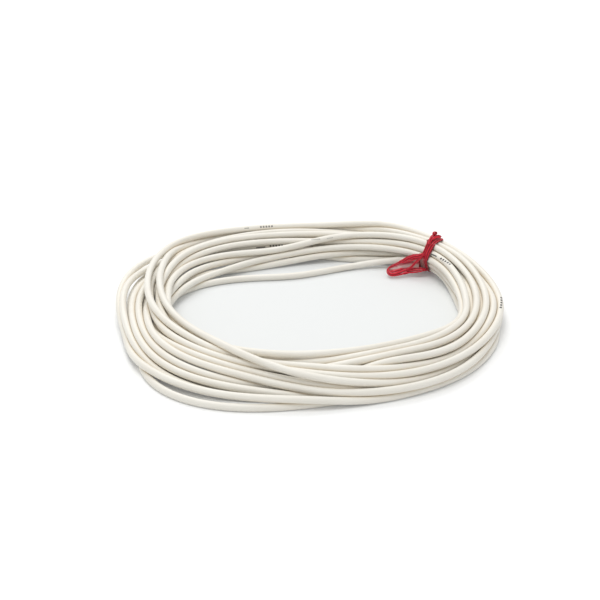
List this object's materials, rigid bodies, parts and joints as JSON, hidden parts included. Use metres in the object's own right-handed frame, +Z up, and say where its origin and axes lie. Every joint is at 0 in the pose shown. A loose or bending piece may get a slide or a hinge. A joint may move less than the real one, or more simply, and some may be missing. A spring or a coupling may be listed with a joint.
{
  "type": "wire hank",
  "caption": "Loose hank of insulated hook-up wire lying flat in a ring, tied at one place with a thin red plastic strip",
  "frame": {"origin": "under the middle of the object's box, on the surface that the hank lies on", "axes": "+Z is up, out of the flat side of the ring; +Y points away from the side that the reference view looks at; +X is to the right there, and the tie is between +X and +Y"},
  "size_m": [0.1008, 0.1016, 0.0131],
  "materials": {
    "wire_insulation": "extruded soft PVC, warm off-white, faint satin sheen, short dark print marks",
    "conductor": "tinned copper strands, cut square",
    "tie_film": "thin red film strip, creased and glossy, whitish and translucent where it is one layer"
  },
  "bodies": {
    "root": {"wire_hank": "wire_insulation", "start_tail_insulation": "wire_insulation", "start_tail_conductor": "conductor", "finish_tail_insulation": "wire_insulation", "finish_tail_conductor": "conductor", "tie_band": "tie_film", "tie_fold": "tie_film", "tie_end": "tie_film", "tie_loop": "tie_film"}
  },
  "joints": []
}
